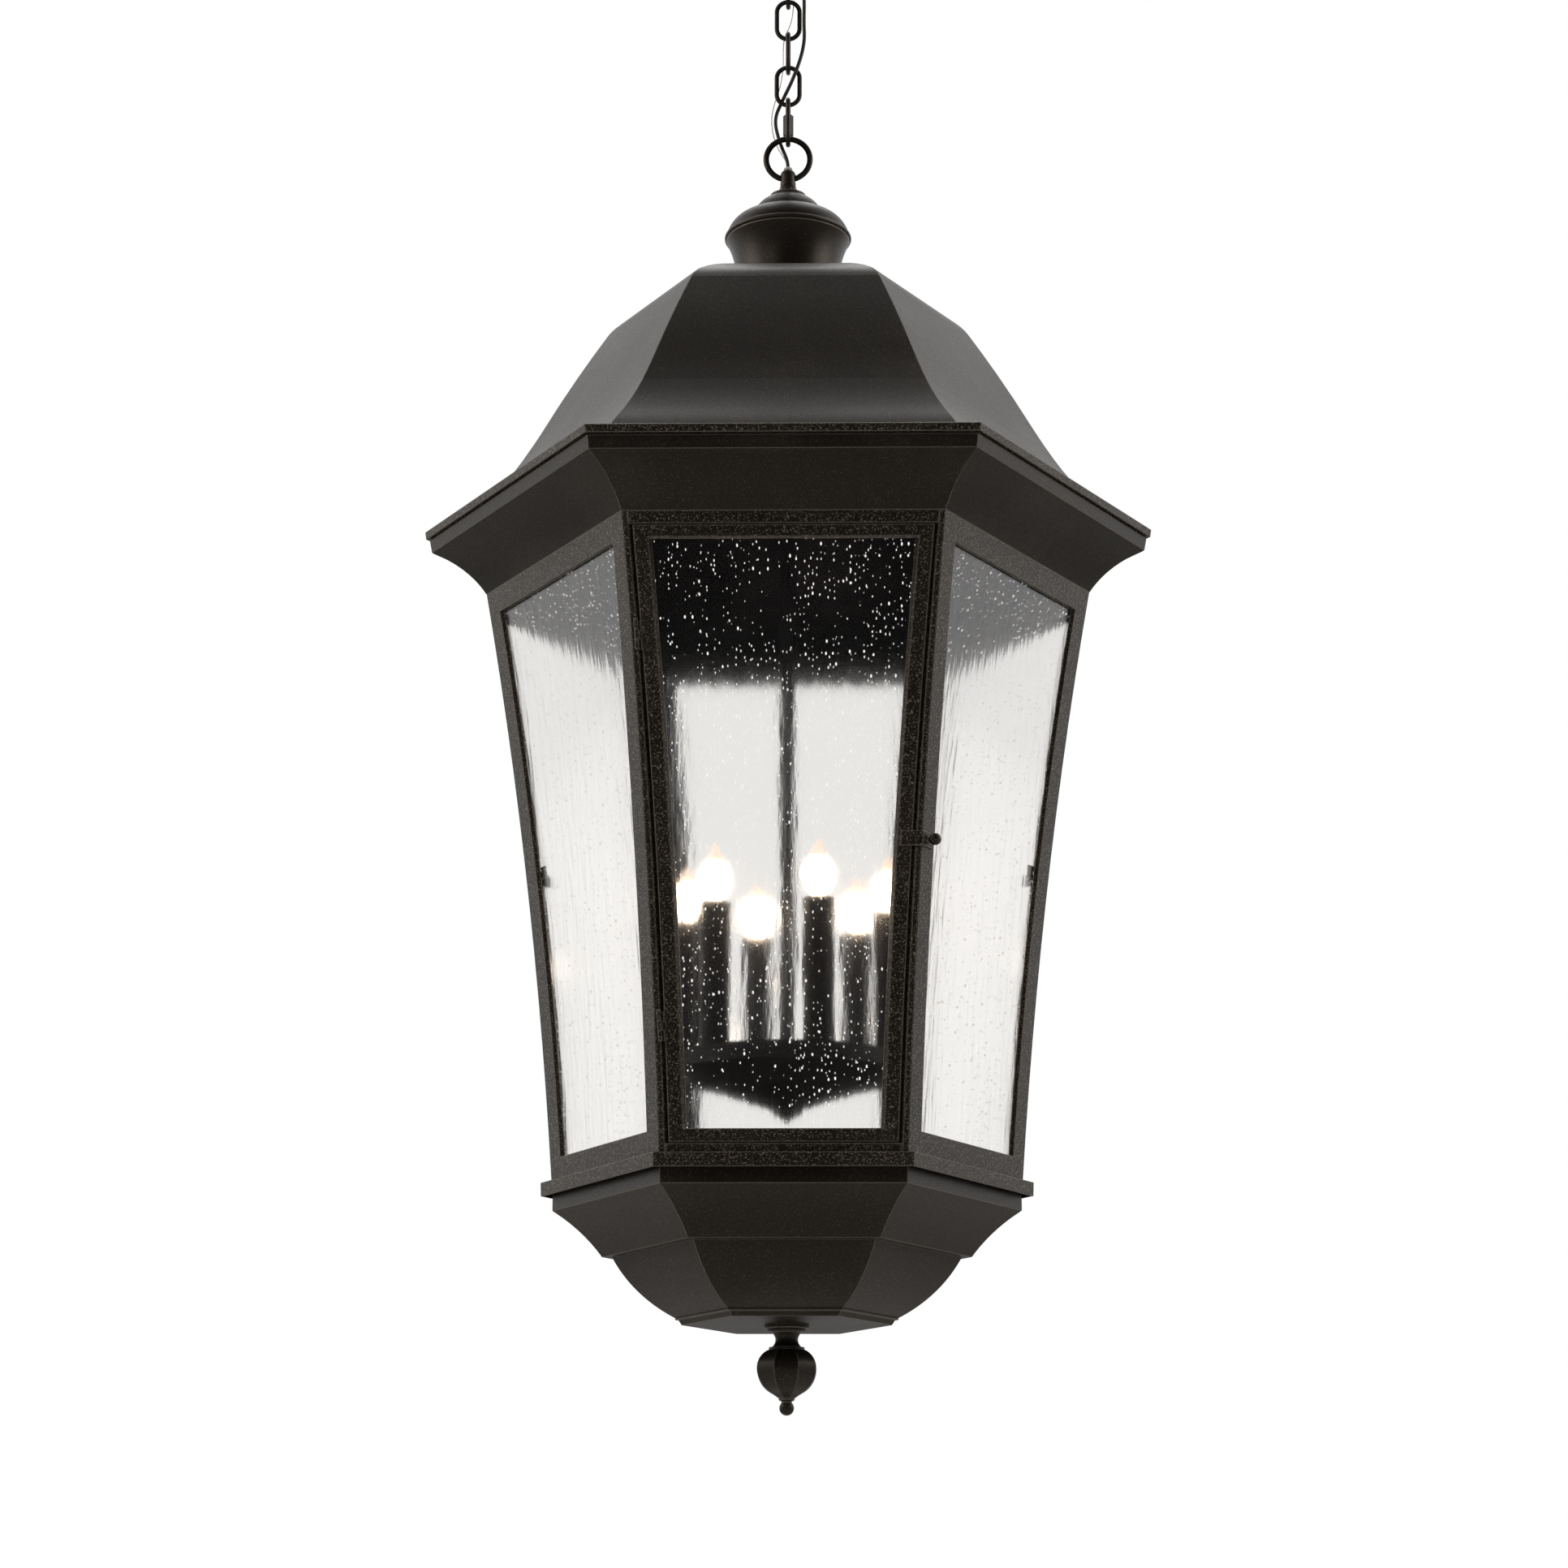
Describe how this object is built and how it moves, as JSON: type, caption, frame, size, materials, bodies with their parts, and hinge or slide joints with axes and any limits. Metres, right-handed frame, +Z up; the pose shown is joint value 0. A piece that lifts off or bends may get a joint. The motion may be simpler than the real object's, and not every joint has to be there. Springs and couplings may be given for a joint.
{
  "type": "hanging lantern",
  "caption": "Large six-sided hanging lantern with a hinged seeded-glass door, domed roof, six candle lamps and a chain.",
  "frame": {"origin": "middle of the ceiling face, at the centre of the crossbar's screw line", "axes": "+Z up, +X to the right of someone facing the door, the door faces -Y"},
  "size_m": [0.8128, 0.704, 1.7229],
  "materials": {
    "black_powder_coat": "textured satin powder coat",
    "chain_enamel": "satin",
    "seeded_glass": "clear, seeded",
    "candle_black": "matte",
    "lamp_glass": "clear, lit",
    "socket_plastic": "matte",
    "cord_jacket": "satin",
    "clear_jacket": "clear over tinned copper",
    "white_bushing": "matte",
    "zinc_steel": "zinc plated"
  },
  "bodies": {
    "ceiling": {"ceiling_canopy": "black_powder_coat", "canopy_crossbar": "zinc_steel", "threaded_nipple": "zinc_steel", "nipple_locknut": "zinc_steel", "collar_ring": "chain_enamel", "ceiling_loop": "chain_enamel", "supply_cord": "cord_jacket", "ground_wire": "clear_jacket"},
    "link_1": {"chain_link_1": "chain_enamel"},
    "link_2": {"chain_link_2": "chain_enamel"},
    "link_3": {"chain_link_3": "chain_enamel"},
    "link_4": {"chain_link_4": "chain_enamel"},
    "quick_link": {"quick_link": "chain_enamel"},
    "link_nut": {"quick_link_nut": "chain_enamel"},
    "ring": {"hanging_ring": "chain_enamel"},
    "lantern": {"top_hub": "black_powder_coat", "cord_bushing": "white_bushing", "cap_upper_dome": "black_powder_coat", "cap_lower_dome": "black_powder_coat", "cap_bowl": "black_powder_coat", "roof_shell": "black_powder_coat", "eave_lip": "black_powder_coat", "eave_cove": "black_powder_coat", "post_front_left": "black_powder_coat", "post_front_right": "black_powder_coat", "post_right": "black_powder_coat", "post_back_right": "black_powder_coat", "post_back_left": "black_powder_coat", "post_left": "black_powder_coat", "head_rails": "black_powder_coat", "foot_rails": "black_powder_coat", "glass_right": "seeded_glass", "glass_back_right": "seeded_glass", "glass_back": "seeded_glass", "glass_back_left": "seeded_glass", "glass_left": "seeded_glass", "glass_clips": "black_powder_coat", "post_hinge_leaves": "black_powder_coat", "hinge_pins": "zinc_steel", "tray_plate": "black_powder_coat", "lower_cup": "black_powder_coat", "lower_bowl": "black_powder_coat", "bottom_plate": "black_powder_coat", "finial_flange": "black_powder_coat", "finial_bulb": "black_powder_coat", "finial_nut": "zinc_steel", "stem": "candle_black", "stem_nuts": "candle_black", "candle_pan": "candle_black", "pan_cone": "candle_black", "pan_finial": "candle_black", "candle_cups": "candle_black", "candle_sleeves": "candle_black", "lamp_sockets": "socket_plastic", "bulbs": "lamp_glass"},
    "door": {"door_frame": "black_powder_coat", "door_glass": "seeded_glass", "door_hinge_leaves": "black_powder_coat", "latch_strap": "black_powder_coat"},
    "latch": {"latch_screw": "black_powder_coat"}
  },
  "joints": [
    {"name": "loop_to_link_1", "type": "hinge", "parent": "ceiling", "child": "link_1", "pos_m": [0, 0, -0.06225], "axis": [1, 0, 0], "range_deg": [-12, 12], "deforming": ["supply_cord", "ground_wire"]},
    {"name": "link_1_to_link_2", "type": "hinge", "parent": "link_1", "child": "link_2", "pos_m": [0, 0, -0.1036], "axis": [0, 1, 0], "range_deg": [-12, 12]},
    {"name": "link_2_to_link_3", "type": "hinge", "parent": "link_2", "child": "link_3", "pos_m": [0, 0, -0.1451], "axis": [1, 0, 0], "range_deg": [-12, 12]},
    {"name": "link_3_to_link_4", "type": "hinge", "parent": "link_3", "child": "link_4", "pos_m": [0, 0, -0.1866], "axis": [0, 1, 0], "range_deg": [-12, 12]},
    {"name": "link_4_to_quick_link", "type": "hinge", "parent": "link_4", "child": "quick_link", "pos_m": [0, 0, -0.2281], "axis": [1, 0, 0], "range_deg": [-12, 12]},
    {"name": "quick_link_nut_turn", "type": "hinge", "parent": "quick_link", "child": "link_nut", "pos_m": [0, 0.01025, -0.2497], "axis": [0, 0, 1], "range_deg": [0, 720]},
    {"name": "quick_link_to_ring", "type": "hinge", "parent": "quick_link", "child": "ring", "pos_m": [0, 0, -0.27695], "axis": [0, 1, 0], "range_deg": [-12, 12]},
    {"name": "ring_to_lantern", "type": "hinge", "parent": "ring", "child": "lantern", "pos_m": [0, 0, -0.321], "axis": [1, 0, 0], "range_deg": [-12, 12]},
    {"name": "door_hinge", "type": "hinge", "parent": "lantern", "child": "door", "pos_m": [-0.13866, -0.25303, -1.1492], "axis": [0.063, 0.1091, -0.992], "range_deg": [0, 105]},
    {"name": "latch_screw_slide", "type": "slide", "parent": "door", "child": "latch", "axis": [0.866, -0.5, 0], "range_m": [0, 0.006]}
  ]
}
